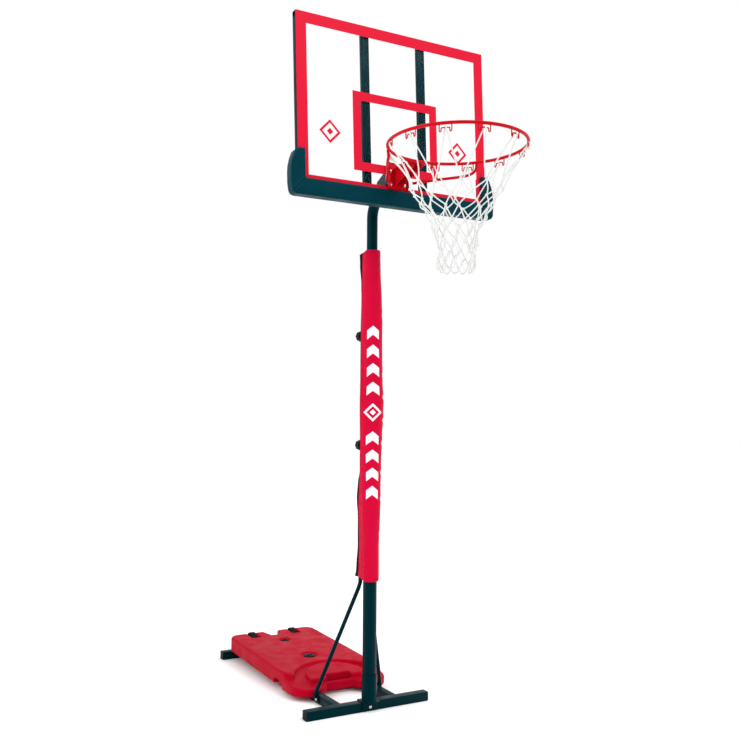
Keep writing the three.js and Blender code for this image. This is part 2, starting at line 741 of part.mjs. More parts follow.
const rim = new THREE.Group();
rim.position.set(0, RING_Y, RING_Z);
upper.add(rim);
mesh(upper, 'ring_bracket', ringBracket(), RED_STEEL);
mesh(rim, 'ring', ring(), RED_STEEL);
sides((side, s) => mesh(rim, `ring_stay_${side}`, stay(s), RED_STEEL));
mesh(rim, 'net', net(), CORD);
RING_BOLTS.forEach(([x, z], i) => {
  const place = [x, BOARD_Y - 4 - 2 * GAP, RING_Z + z];
  mesh(board, `ring_bolt_${i + 1}`, bolt(25, 15.3), ZINC, place, [-Math.PI / 2, 0, 0]);
});

export default hoop;
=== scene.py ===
"""Looks of a portable basketball hoop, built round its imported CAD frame.

Metres, +Z up. The origin is on the floor below the pole, and the ring points to -Y.
"""

import json
import math
import random

import bmesh
import bpy
import numpy as np
from mathutils import Matrix, Vector


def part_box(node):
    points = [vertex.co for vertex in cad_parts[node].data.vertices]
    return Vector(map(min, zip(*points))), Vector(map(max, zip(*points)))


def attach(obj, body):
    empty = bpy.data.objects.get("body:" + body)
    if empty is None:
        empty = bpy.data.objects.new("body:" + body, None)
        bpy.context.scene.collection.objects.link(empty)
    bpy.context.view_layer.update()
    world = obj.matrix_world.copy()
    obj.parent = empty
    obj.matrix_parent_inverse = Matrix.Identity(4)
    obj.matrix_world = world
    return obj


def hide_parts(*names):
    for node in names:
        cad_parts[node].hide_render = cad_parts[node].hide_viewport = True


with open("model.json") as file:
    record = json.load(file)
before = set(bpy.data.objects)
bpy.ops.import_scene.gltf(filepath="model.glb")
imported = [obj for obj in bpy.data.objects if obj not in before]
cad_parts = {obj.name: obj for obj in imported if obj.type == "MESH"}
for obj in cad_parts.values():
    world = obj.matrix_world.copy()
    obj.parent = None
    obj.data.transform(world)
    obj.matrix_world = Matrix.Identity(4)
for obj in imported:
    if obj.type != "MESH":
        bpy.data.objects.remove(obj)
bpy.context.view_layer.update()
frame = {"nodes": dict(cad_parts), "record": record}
nodes = frame["nodes"]
body_of_node = {n: b for b, ns in frame["record"]["behaviour"]["bodies"].items() for n in ns}
slot_of_node = {p["node"]: p["material_slot"] for p in frame["record"]["subparts"]}
dice = random.Random(7)

LEAN = 0.056  # the board leans back by this angle, in radians
BORDER = 0.041
SQUARE_W = 0.363
SQUARE_H = 0.290
SQUARE_LOW = 0.0825  # above the panel's lower edge
SQUARE_LINE = 0.033
EMBLEM_X = 0.276
EMBLEM_UP = 0.207
EMBLEM_R = 0.043
INK_DEPTH = 0.0012  # the print is within this distance of the front face

RING_R = 0.231
RING_WIRE = 0.0054
HOOKS = 12
CORD_R = 0.0022
NET_ROWS = [(0.155, -0.150), (0.126, -0.186), (0.099, -0.222), (0.082, -0.257), (0.072, -0.294), (0.066, -0.331),
            (0.062, -0.367), (0.060, -0.399)]
NET_LOW = -0.428


# ---- camera, light and floor ----

CAMERA_PLACE = (-1.7487, -2.9722, 1.1538)
CAMERA_TURN = math.radians(-28.545)
CAMERA_PITCH = math.radians(-0.577)
CAMERA_ROLL = math.radians(0.368)
CAMERA_LENS = 43.368
CAMERA_SHIFT = (0.0392, 0.0702)


def make_camera():
    a = CAMERA_TURN
    level = Vector((-math.sin(a), math.cos(a), 0))
    right = Vector((math.cos(a), math.sin(a), 0))
    up = Vector((0, 0, 1))
    ahead = level * math.cos(CAMERA_PITCH) + up * math.sin(CAMERA_PITCH)
    over = up * math.cos(CAMERA_PITCH) - level * math.sin(CAMERA_PITCH)
    x = right * math.cos(CAMERA_ROLL) + over * math.sin(CAMERA_ROLL)
    y = over * math.cos(CAMERA_ROLL) - right * math.sin(CAMERA_ROLL)
    camera = bpy.data.objects.new("camera", bpy.data.cameras.new("camera"))
    camera.matrix_world = Matrix.Translation(CAMERA_PLACE) @ Matrix((x, y, -ahead)).transposed().to_4x4()
    camera.data.lens = CAMERA_LENS
    camera.data.shift_x, camera.data.shift_y = CAMERA_SHIFT
    bpy.context.scene.collection.objects.link(camera)
    bpy.context.scene.camera = camera


def make_lamp(name, place, target, size, watts):
    data = bpy.data.lights.new(name, "AREA")
    data.size = size
    data.energy = watts
    lamp = bpy.data.objects.new(name, data)
    lamp.location = place
    lamp.rotation_euler = (Vector(target) - Vector(place)).to_track_quat("-Z", "Y").to_euler()
    bpy.context.scene.collection.objects.link(lamp)


def make_sun(place, angle, strength):
    """A broad sun that shines from a place towards the origin, so that the whole floor is lit alike."""
    data = bpy.data.lights.new("sun", "SUN")
    data.angle = angle
    data.energy = strength
    lamp = bpy.data.objects.new("sun", data)
    lamp.rotation_euler = Vector(place).to_track_quat("Z", "Y").to_euler()
    bpy.context.scene.collection.objects.link(lamp)


def make_studio():
    scene = bpy.context.scene
    scene.view_settings.view_transform = "Standard"
    world = bpy.data.worlds.new("studio")
    world.use_nodes = True
    background = world.node_tree.nodes["Background"]
    background.inputs["Color"].default_value = (1, 1, 1, 1)
    background.inputs["Strength"].default_value = 1.0
    scene.world = world
    make_sun((0.8, -1.6, 2.2), 0.5, 1.3)
    make_lamp("side_strip", (-3.4, -0.6, 2.4), (0, 0, 1.2), 1.6, 40)
    bpy.ops.mesh.primitive_circle_add(vertices=96, radius=30, fill_type="NGON", location=(0, 0, -0.0005))
    floor = bpy.context.object
    floor.name = "floor"
    paint = Finish("floor_white", (0.93, 0.93, 0.93), 0.9, Specular_IOR_Level=0.1)
    paint.bump(paint.noise(40), 0.0004, 0.1)
    floor.data.materials.append(paint.material)


# ---- materials ----


def rgb(red, green, blue):
    """A linear colour from display values of 0 to 255."""
    return tuple((v / 255 / 12.92) if v < 10.3 else ((v / 255 + 0.055) / 1.055) ** 2.4 for v in (red, green, blue))


class Finish:
    """A material on the Principled shader, with short calls for the nodes that feed it."""

    def __init__(self, name, colour, roughness, **sockets):
        self.material = bpy.data.materials.new(name)
        self.material.use_nodes = True
        self.tree = self.material.node_tree
        self.shader = self.tree.nodes["Principled BSDF"]
        self.put("Base Color", (*colour, 1))
        self.put("Roughness", roughness)
        for key, value in sockets.items():
            self.put(key.replace("_", " "), value)
        coordinates = self.tree.nodes.new("ShaderNodeTexCoord")
        self.point = coordinates.outputs["Object"]
        split = self.tree.nodes.new("ShaderNodeSeparateXYZ")
        self.tree.links.new(self.point, split.inputs[0])
        self.x, self.y, self.z = split.outputs
        self.normal = None

    def feed(self, socket, value):
        if isinstance(value, bpy.types.NodeSocket):
            self.tree.links.new(value, socket)
        else:
            socket.default_value = value

    def put(self, name, value):
        self.feed(self.shader.inputs[name], value)

    def math(self, operation, a, b=0.0):
        node = self.tree.nodes.new("ShaderNodeMath")
        node.operation = operation
        self.feed(node.inputs[0], a)
        self.feed(node.inputs[1], b)
        return node.outputs[0]

    def noise(self, scale, detail=2.0, stretch=(1, 1, 1)):
        mapping = self.tree.nodes.new("ShaderNodeMapping")
        mapping.inputs["Scale"].default_value = stretch
        self.tree.links.new(self.point, mapping.inputs[0])
        node = self.tree.nodes.new("ShaderNodeTexNoise")
        node.inputs["Scale"].default_value = scale
        node.inputs["Detail"].default_value = detail
        self.tree.links.new(mapping.outputs[0], node.inputs["Vector"])
        return node.outputs["Fac"]

    def spread(self, value, low, high, to_low, to_high):
        """Maps a value smoothly from one range to another."""
        node = self.tree.nodes.new("ShaderNodeMapRange")
        node.interpolation_type = "SMOOTHSTEP"
        for socket, item in zip(node.inputs[:5], (value, low, high, to_low, to_high)):
            self.feed(socket, item)
        return node.outputs[0]

    def mix(self, factor, a, b):
        node = self.tree.nodes.new("ShaderNodeMix")
        node.data_type = "RGBA"
        self.feed(node.inputs[0], factor)
        self.feed(node.inputs[6], a if isinstance(a, bpy.types.NodeSocket) else (*a, 1))
        self.feed(node.inputs[7], b if isinstance(b, bpy.types.NodeSocket) else (*b, 1))
        return node.outputs[2]

    def band(self, value, low, high):
        """1 where the value lies between low and high."""
        return self.math("MULTIPLY", self.math("GREATER_THAN", value, low), self.math("LESS_THAN", value, high))

    def bump(self, height, distance, strength=1.0):
        node = self.tree.nodes.new("ShaderNodeBump")
        node.inputs["Distance"].default_value = distance
        node.inputs["Strength"].default_value = strength
        self.feed(node.inputs["Height"], height)
        if self.normal is not None:
            self.tree.links.new(self.normal, node.inputs["Normal"])
        self.normal = node.outputs[0]
        self.put("Normal", self.normal)


def shade(colour, factor):
    return tuple(min(1.0, c * factor) for c in colour)


def powder_coat(name, colour, tint, roughness=0.36):
    """Baked powder paint: orange peel, faint mottling and small scuffs."""
    f = Finish(name, colour, roughness, Specular_IOR_Level=0.14, Specular_Tint=(*tint, 1))
    mottle = f.mix(f.noise(9, 3), shade(colour, 0.8), shade(colour, 1.18))
    scuff = f.spread(f.noise(60, 6, (1, 1, 0.25)), 0.66, 0.74, 0.0, 0.3)
    f.put("Base Color", f.mix(scuff, mottle, shade(colour, 2.0)))
    f.put("Roughness", f.spread(f.noise(14, 4), 0.3, 0.7, roughness - 0.06, roughness + 0.1))
    f.bump(f.noise(620, 1), 0.00012, 0.5)
    return f.material


def zinc_plate():
    colour = rgb(196, 200, 204)
    f = Finish("zinc_plate", colour, 0.3, Metallic=1.0)
    f.put("Base Color", f.mix(f.noise(160, 4), shade(colour, 0.75), shade(colour, 1.1)))
    f.put("Roughness", f.spread(f.noise(220, 3), 0.3, 0.7, 0.22, 0.45))
    f.bump(f.noise(900, 2), 0.00006, 0.5)
    return f.material


def black_plastic():
    colour = rgb(12, 18, 19)
    f = Finish("black_plastic", colour, 0.55, Specular_IOR_Level=0.1)
    f.put("Base Color", f.mix(f.noise(26, 4), shade(colour, 0.7), shade(colour, 1.4)))
    f.put("Roughness", f.spread(f.noise(40, 3), 0.3, 0.7, 0.45, 0.65))
    f.bump(f.noise(1100, 2), 0.00012, 0.6)
    return f.material


def tank_plastic():
    """Blow-moulded polyethylene: pebbled grain, waviness from moulding, and pale scuffs."""
    colour = rgb(168, 6, 34)
    f = Finish("tank_plastic", colour, 0.55, Specular_IOR_Level=0.05, Specular_Tint=(1, 0.1, 0.25, 1))
    cloudy = f.mix(f.noise(7, 3), shade(colour, 0.9), shade(colour, 1.05))
    dusty = f.spread(f.noise(22, 6), 0.56, 0.78, 0.0, 0.14)
    f.put("Base Color", f.mix(dusty, cloudy, rgb(176, 26, 50)))
    f.put("Roughness", f.spread(f.noise(18, 4), 0.3, 0.7, 0.4, 0.6))
    f.bump(f.noise(30, 2), 0.0008, 0.25)
    f.bump(f.noise(700, 2), 0.0002, 0.7)
    return f.material


def foam_skin():
    """Integral-skin foam: smooth, slightly sheeny, with a faint flow pattern."""
    colour = rgb(0, 42, 52)
    f = Finish("foam_skin", colour, 0.42, Specular_IOR_Level=0.14, Specular_Tint=(0.02, 0.8, 0.95, 1))
    f.put("Base Color", f.mix(f.noise(6, 3, (1, 1, 2.5)), shade(colour, 0.75), shade(colour, 1.25)))
    f.put("Roughness", f.spread(f.noise(16, 3), 0.3, 0.7, 0.38, 0.54))
    f.bump(f.noise(24, 2), 0.0010, 0.25)
    f.bump(f.noise(850, 2), 0.0001, 0.6)
    return f.material


def acrylic():
    """Clear sheet with a red border, a shooter's square and two diamonds printed on its front face."""
    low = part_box("acrylic_panel")[0]
    ink = rgb(205, 6, 44)
    f = Finish("printed_acrylic", (0.95, 0.98, 0.98), 0.1, IOR=1.49, Specular_IOR_Level=0.12)
    s, c = math.sin(LEAN), math.cos(LEAN)
    behind = f.math("SUBTRACT", f.y, low.y)
    above = f.math("SUBTRACT", f.z, low.z)
    up = f.math("ADD", f.math("MULTIPLY", above, c), f.math("MULTIPLY", behind, s))
    depth = f.math("SUBTRACT", f.math("MULTIPLY", behind, c), f.math("MULTIPLY", above, s))
    side = f.math("ABSOLUTE", f.x)
    from_ends = f.math("MINIMUM", up, f.math("SUBTRACT", panel_height(), up))
    border = f.math("LESS_THAN", f.math("MINIMUM", f.math("SUBTRACT", -low.x, side), from_ends), BORDER)
    across = f.math("SUBTRACT", side, SQUARE_W / 2)
    off_middle = f.math("ABSOLUTE", f.math("SUBTRACT", up, SQUARE_LOW + SQUARE_H / 2))
    square = f.band(f.math("MAXIMUM", across, f.math("SUBTRACT", off_middle, SQUARE_H / 2)), -SQUARE_LINE, 0.0)
    beside = f.math("ABSOLUTE", f.math("SUBTRACT", side, EMBLEM_X))
    diamond = f.math("ADD", beside, f.math("ABSOLUTE", f.math("SUBTRACT", up, EMBLEM_UP)))
    core = f.math("LESS_THAN", diamond, EMBLEM_R * 0.3)
    emblem = f.math("MAXIMUM", f.band(diamond, EMBLEM_R * 0.72, EMBLEM_R), core)
    pattern = f.math("MAXIMUM", f.math("MAXIMUM", border, square), emblem)
    inked = f.math("MULTIPLY", pattern, f.math("LESS_THAN", depth, INK_DEPTH))
    haze = f.spread(f.noise(5, 4, (1, 1, 2)), 0.35, 0.75, 0.001, 0.005)
    f.put("Base Color", f.mix(inked, (0.9, 0.94, 0.94), ink))
    f.put("Alpha", f.math("MAXIMUM", inked, haze))
    f.put("Roughness", f.spread(inked, 0.0, 1.0, 0.07, 0.35))
    return f.material


def panel_height():
    low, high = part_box("acrylic_panel")
    return (high.z - low.z) / math.cos(LEAN)


def cover_fabric():
    """Vinyl-coated cloth with a fine weave, and white chevrons and a diamond printed down the front."""
    colour = rgb(192, 10, 50)
    f = Finish("cover_fabric", colour, 0.5, Specular_IOR_Level=0.07, Specular_Tint=(1, 0.1, 0.25, 1))
    cloth = f.mix(f.noise(14, 4, (1, 1, 0.4)), shade(colour, 0.84), shade(colour, 1.1))
    turn = f.math("SUBTRACT", f.math("ARCTAN2", f.x, f.math("MULTIPLY", f.y, -1.0)), PRINT_TURN)
    around_pole = f.math("MULTIPLY", turn, PRINT_CURVE_R)
    across = f.math("ABSOLUTE", around_pole)
    chevrons = [chevron_run(f, across, tip, pitch) for tip, pitch in PRINT_RUNS]
    middle = f.math("ADD", across, f.math("ABSOLUTE", f.math("SUBTRACT", f.z, PRINT_DIAMOND_Z)))
    diamond = f.band(middle, PRINT_DIAMOND_R * 0.68, PRINT_DIAMOND_R)
    dot = f.math("LESS_THAN", middle, PRINT_DIAMOND_R * 0.32)
    mask = f.math("MAXIMUM", f.math("MAXIMUM", *chevrons), f.math("MAXIMUM", diamond, dot))
    outside = f.math("GREATER_THAN", f.math("SQRT", f.math("ADD", f.math("MULTIPLY", f.x, f.x), f.math("MULTIPLY", f.y, f.y))), PAD_INNER + 0.002)
    worn = f.math("MULTIPLY", f.math("MULTIPLY", mask, outside), f.spread(f.noise(900, 2), 0.25, 0.4, 0.85, 1.0))
    low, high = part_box("pole_padding")
    from_end = f.math("MINIMUM", f.math("SUBTRACT", f.z, low.z), f.math("SUBTRACT", high.z, f.z))
    dash = f.math("LESS_THAN", f.math("FRACT", f.math("DIVIDE", around_pole, STITCH)), 0.62)
    stitches = f.math("MULTIPLY", f.band(from_end, HEM, HEM + 0.0012), f.math("MULTIPLY", dash, outside))
    f.put("Base Color", f.mix(stitches, f.mix(worn, cloth, rgb(236, 222, 230)), rgb(96, 2, 20)))
    f.put("Roughness", f.spread(f.noise(30, 3), 0.3, 0.7, 0.4, 0.55))
    f.bump(stitches, 0.0006, 0.8)
    f.bump(f.math("MULTIPLY", thread(f, f.z), thread(f, around_pole)), 0.00012, 0.5)
    f.bump(f.noise(45, 3, (1, 1, 0.5)), 0.0012, 0.25)
    f.bump(f.noise(15, 3, (1, 1, 2.4)), 0.004, 0.35)
    return f.material


PRINT_TURN = math.radians(-21)
PRINT_CURVE_R = 0.0385
PRINT_HALF = 0.0245
PRINT_RUNS = [(1.488, 0.0715), (1.084, 0.0695)]  # the height of the top tip, and the pitch, of four chevrons
PRINT_STROKE = 0.034
PRINT_SLANT = 0.75
PRINT_DIAMOND_Z = 1.157
PRINT_DIAMOND_R = 0.035
THREAD = 0.0011
STITCH = 0.006
HEM = 0.012


def thread(f, value):
    return f.math("ABSOLUTE", f.math("SINE", f.math("MULTIPLY", value, math.pi / THREAD)))


def chevron_run(f, across, tip, pitch):
    """Four upward chevrons below one another; their tips start at a height and repeat at a pitch."""
    down = f.math("SUBTRACT", f.math("SUBTRACT", tip, f.z), f.math("MULTIPLY", across, PRINT_SLANT))
    stripe = f.math("LESS_THAN", f.math("FRACT", f.math("DIVIDE", down, pitch)), PRINT_STROKE / pitch)
    inside = f.math("MULTIPLY", f.band(down, 0.0, 4 * pitch), f.math("LESS_THAN", across, PRINT_HALF))
    return f.math("MULTIPLY", stripe, inside)


def lining():
    colour = rgb(7, 9, 12)
    f = Finish("cover_lining", colour, 0.85, Specular_IOR_Level=0.15)
    f.put("Base Color", f.mix(f.noise(60, 4), shade(colour, 0.7), shade(colour, 1.5)))
    f.bump(f.noise(1300, 2), 0.0002, 0.7)
    return f.material


def net_cord():
    colour = rgb(224, 226, 224)
    f = Finish("net_cord", colour, 0.85, Specular_IOR_Level=0.1)
    f.put("Base Color", f.mix(f.noise(70, 3), shade(colour, 0.8), colour))
    f.bump(f.noise(600, 1, (1, 1, 0.5)), 0.0002, 0.4)
    return f.material


# ---- mesh helpers ----


def add_piece(name, mesh, material, smooth=True):
    piece = bpy.data.objects.new(name, mesh)
    bpy.context.scene.collection.objects.link(piece)
    mesh.materials.clear()
    mesh.materials.append(material)
    for polygon in mesh.polygons:
        polygon.use_smooth = smooth
    return piece


def settle(piece, node, extra=()):
    """The piece stands for a CAD node: the node is hidden, and the piece rides on its body."""
    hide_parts(node, *extra)
    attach(piece, body_of_node[node])
    return piece


def apply_modifiers(piece):
    """Bakes the piece's modifiers into its own mesh."""
    graph = bpy.context.evaluated_depsgraph_get()
    graph.update()
    baked = bpy.data.meshes.new_from_object(piece.evaluated_get(graph))
    piece.modifiers.clear()
    piece.data = baked
    return piece


def clean_copy(node):
    """The CAD node's mesh with shared corners merged and flat faces joined."""
    work = bmesh.new()
    work.from_mesh(nodes[node].data)
    bmesh.ops.remove_doubles(work, verts=work.verts, dist=1e-6)
    bmesh.ops.dissolve_limit(work, angle_limit=math.radians(0.6), verts=work.verts, edges=work.edges)
    mesh = bpy.data.meshes.new(node + "_mesh")
    work.to_mesh(mesh)
    work.free()
    return mesh


def refined(node, material, edge=0.0008, segments=2):
    """A finer stand-in for a CAD node: same shape, with rounded edges and smooth curved faces."""
    piece = add_piece("fine_" + node, clean_copy(node), material)
    bevel = piece.modifiers.new("edges", "BEVEL")
    bevel.width = edge
    bevel.segments = segments
    bevel.limit_method = "ANGLE"
    bevel.angle_limit = math.radians(32)
    bevel.harden_normals = False
    apply_modifiers(piece)
    piece.data.set_sharp_from_angle(angle=math.radians(38))
    return settle(piece, node)


def remeshed(node, material, voxel, rounds, factor=0.5):
    """A moulded stand-in for a CAD node: remeshed evenly, then smoothed until its edges are round."""
    piece = add_piece("moulded_" + node, clean_copy(node), material)
    remesh = piece.modifiers.new("remesh", "REMESH")
    remesh.mode = "VOXEL"
    remesh.voxel_size = voxel
    smooth = piece.modifiers.new("smooth", "SMOOTH")
    smooth.factor = factor
    smooth.iterations = rounds
    apply_modifiers(piece)
    for polygon in piece.data.polygons:
        polygon.use_smooth = True
    piece.data.materials.clear()
    piece.data.materials.append(material)
    return piece


def points_of(mesh):
    flat = np.zeros(len(mesh.vertices) * 3)
    mesh.vertices.foreach_get("co", flat)
    return flat.reshape(-1, 3)


def normals_of(mesh):
    flat = np.zeros(len(mesh.vertices) * 3)
    mesh.vertex_normals.foreach_get("vector", flat)
    return flat.reshape(-1, 3)


def put_points(mesh, points):
    mesh.vertices.foreach_set("co", points.ravel())
    mesh.update()


def mesh_from(name, vertices, faces):
    mesh = bpy.data.meshes.new(name)
    mesh.from_pydata([tuple(v) for v in vertices], [], faces)
    mesh.update()
    return mesh


def smooth_path(points, steps):
    """Catmull-Rom points through the given ones."""
    p = [Vector(q) for q in points]
    p = [2 * p[0] - p[1], *p, 2 * p[-1] - p[-2]]
    out = []
    for i in range(1, len(p) - 2):
        for k in range(steps):
            t = k / steps
            a, b, c, d = p[i - 1], p[i], p[i + 1], p[i + 2]
            out.append(0.5 * (2 * b + (c - a) * t + (2 * a - 5 * b + 4 * c - d) * t * t + (3 * b - a - 3 * c + d) * t ** 3))
    out.append(p[-2])
    return out


def sweep(path, radii, sides=16, flat=None):
    """Vertices and faces of a tube along a path; flat is not used."""
    vertices, faces = [], []
    tangent = (path[1] - path[0]).normalized()
    across = tangent.orthogonal().normalized()
    for i, p in enumerate(path):
        ahead = path[min(i + 1, len(path) - 1)] - path[max(i - 1, 0)]
        ahead.normalize()
        across = (across - ahead * across.dot(ahead)).normalized()
        over = ahead.cross(across)
        for k in range(sides):
            a = 2 * math.pi * k / sides
            vertices.append(p + across * math.cos(a) * radii[i] + over * math.sin(a) * radii[i])
        if i:
            for k in range(sides):
                n = (k + 1) % sides
                faces.append(((i - 1) * sides + k, (i - 1) * sides + n, i * sides + n, i * sides + k))
    last = len(path) - 1
    faces.append(tuple(reversed(range(sides))))
    faces.append(tuple(last * sides + k for k in range(sides)))
    return vertices, faces


def join_shapes(name, shapes):
    vertices, faces = [], []
    for v, f in shapes:
        start = len(vertices)
        vertices += v
        faces += [tuple(start + i for i in face) for face in f]
    return mesh_from(name, vertices, faces)


# ---- ring, hooks and stays ----


def ring_centre():
    low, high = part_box("ring")
    middle = (low + high) / 2
    return Vector((middle.x, middle.y, high.z - RING_WIRE))


def make_ring(material):
    centre = ring_centre()
    steps, sides = 144, 16
    vertices, faces = [], []
    for i in range(steps):
        a = 2 * math.pi * i / steps
        out = Vector((math.cos(a), math.sin(a), 0))
        for k in range(sides):
            b = 2 * math.pi * k / sides
            wire = Vector((0, 0, RING_WIRE * math.sin(b)))
            vertices.append(centre + out * (RING_R + RING_WIRE * math.cos(b)) + wire)
            j, n = (i + 1) % steps, (k + 1) % sides
            faces.append((i * sides + k, j * sides + k, j * sides + n, i * sides + n))
    shapes = [(vertices, faces)]
    for i in range(HOOKS):
        shapes.append(hook(centre, 2 * math.pi * (i + 0.5) / HOOKS))
    piece = add_piece("ring_with_hooks", join_shapes("ring_with_hooks", shapes), material)
    return settle(piece, "ring")


def hook(centre, angle):
    """A bent-wire net hook: two legs below the ring, curled in, with a raised bridge between them."""
    half = [(0.0195, -0.004), (0.0196, -0.014), (0.0192, -0.0235), (0.0165, -0.0265), (0.0138, -0.0235),
            (0.0134, -0.0175), (0.0118, -0.0148), (0.0, -0.0146)]
    line = [(-t, z) for t, z in half] + [(t, z) for t, z in reversed(half[:-1])]
    out = Vector((math.cos(angle), math.sin(angle), 0))
    along = Vector((-math.sin(angle), math.cos(angle), 0))
    points = [centre + out * RING_R + along * t + Vector((0, 0, z)) for t, z in line]
    path = smooth_path(points, 4)
    return sweep(path, [0.0019] * len(path), 10)


def make_stays(material):
    centre = ring_centre()
    line = [(49, 366, -42), (62, 346, -42), (107, 267, -42), (164, 174, -42), (180, 142, -29), (184.5, 139, -7.4)]
    for side, s in (("left", -1), ("right", 1)):
        points = [centre + Vector((s * x, y, z)) / 1000 for x, y, z in line]
        path = smooth_path(points, 10)
        vertices, faces = sweep(path, [0.005] * len(path), 16)
        piece = add_piece("round_ring_stay_" + side, mesh_from("stay", vertices, faces), material)
        settle(piece, "ring_stay_" + side)


# ---- net ----


def strand(a, b, sag, centre, steps=7):
    """A cord between two points that bellies out from the net's axis by sag and drops a little."""
    middle = (a + b) / 2
    out = Vector((middle.x - centre.x, middle.y - centre.y, 0)).normalized()
    path = []
    for i in range(steps + 1):
        t = i / steps
        belly = 4 * t * (1 - t)
        path.append(a.lerp(b, t) + out * sag * belly + Vector((0, 0, -abs(sag) * 0.4 * belly)))
    return path


def knot(place, size):
    """A small overhand knot: two crossed turns of cord."""
    shapes = []
    tilt = Matrix.Rotation(dice.uniform(0, math.pi), 3, "Z")
    for lean in (0.5, -0.7):
        turn = tilt @ Matrix.Rotation(lean, 3, "X")
        path = []
        for i in range(13):
            a = 2 * math.pi * i / 12
            path.append(place + turn @ Vector((math.cos(a) * size, math.sin(a) * size, 0)))
        shapes.append(sweep(path, [CORD_R * 1.05] * len(path), 8))
    return shapes


def around(centre, radius, z, angle):
    return centre + Vector((radius * math.cos(angle), radius * math.sin(angle), z))


def hook_loop(centre, angle):
    """The net's loop over one hook's bridge: its path, and the points where its two strands leave."""
    ends = [around(centre, RING_R + s * 0.0045, -0.022, angle + s * 0.016) for s in (-1, 1)]
    top = around(centre, RING_R, -0.0103, angle)
    shoulders = [around(centre, RING_R + s * 0.0036, -0.0128, angle + s * 0.008) for s in (-1, 1)]
    return smooth_path([ends[0], shoulders[0], top, shoulders[1], ends[1]], 4), ends


def cord(path):
    return sweep(path, [CORD_R] * len(path), 8)


def make_net(material):
    """A knotted net: a loop on each hook, eight rows of knots, and loose loops below."""
    centre = ring_centre()
    pitch = 2 * math.pi / HOOKS
    shapes = []
    above = []
    for i in range(HOOKS):
        path, ends = hook_loop(centre, (i + 0.5) * pitch)
        shapes.append(cord(path))
        above.append(ends)
    for row, (radius, z) in enumerate(NET_ROWS):
        shift = 0.5 * (row % 2)
        slack = 0.35 if row < 2 else 1.0
        knots = []
        for i in range(HOOKS):
            a = (i + shift) * pitch + dice.uniform(-0.1, 0.1) * slack
            reach = radius * (1 + 0.08 * slack * dice.uniform(-1, 1))
            knots.append(around(centre, reach, z + 0.008 * slack * dice.uniform(-1, 1), a))
        for i in range(HOOKS):
            # A knot hangs between the two points above it.
            left, right = (i - 1, i) if shift == 0 else (i, i + 1)
            for start in (above[left % HOOKS][1], above[right % HOOKS][0]):
                sag = dice.uniform(-0.028, 0.0) if row == 0 else dice.uniform(-0.005, 0.008)
                shapes.append(cord(strand(start, knots[i], sag, centre, 10 if row == 0 else 6)))
            shapes += knot(knots[i], CORD_R * 1.3)
        above = [(p, p) for p in knots]
    for i in range(HOOKS):
        ends = above[i][0], above[(i + 1) % HOOKS][0]
        low = (ends[0] + ends[1]) / 2
        low.z = centre.z + NET_LOW + 0.012 * dice.uniform(0, 1)
        low.x += (centre.x - low.x) * 0.12
        low.y += (centre.y - low.y) * 0.12
        for end in ends:
            shapes.append(cord(smooth_path([end, end.lerp(low, 0.5) + Vector((0, 0, -0.006)), low], 5)))
        shapes += knot(low, CORD_R * 1.2)
    piece = add_piece("knotted_net", join_shapes("knotted_net", shapes), material)
    return settle(piece, "net")


# ---- pole padding ----

PAD_SIDE = [(0.0, 0.0325), (0.08, 0.0335), (0.26, 0.0376), (0.42, 0.0422), (0.53, 0.0448),
            (0.62, 0.0410), (0.76, 0.0385), (0.85, 0.0370), (0.94, 0.0348), (1.0, 0.0325)]
PAD_BACK = [(0.0, 0.037), (0.04, 0.028), (0.1, 0.026), (0.22, 0.027), (0.28, 0.022), (0.34, 0.013), (0.42, 0.008),
            (0.53, 0.007), (0.62, 0.011), (0.76, 0.015), (0.85, 0.013), (0.92, 0.012), (1.0, 0.013)]
PAD_FLAP = [(0.0, 0.021), (0.03, 0.018), (0.12, 0.010), (0.2, 0.007), (0.26, 0.014), (0.3, 0.010), (0.335, 0.003),
            (0.86, 0.003), (0.89, 0.006), (0.96, 0.017), (1.0, 0.022)]
PAD_SHIFT = [(0.0, 0.0), (0.25, 0.001), (0.4, 0.003), (0.62, 0.003), (0.8, 0.001), (1.0, 0.0)]
PAD_INNER = 0.0308
PAD_WALL = 0.0016  # the cover is never thinner than this
PAD_HEM = 0.012  # how far the hem rises or falls towards the flaps


def curve_at(table, t):
    """A smooth value from (place, value) pairs."""
    for (t0, v0), (t1, v1) in zip(table, table[1:]):
        if t <= t1:
            u = (t - t0) / (t1 - t0)
            return v0 + (v1 - v0) * u * u * (3 - 2 * u)
    return table[-1][1]


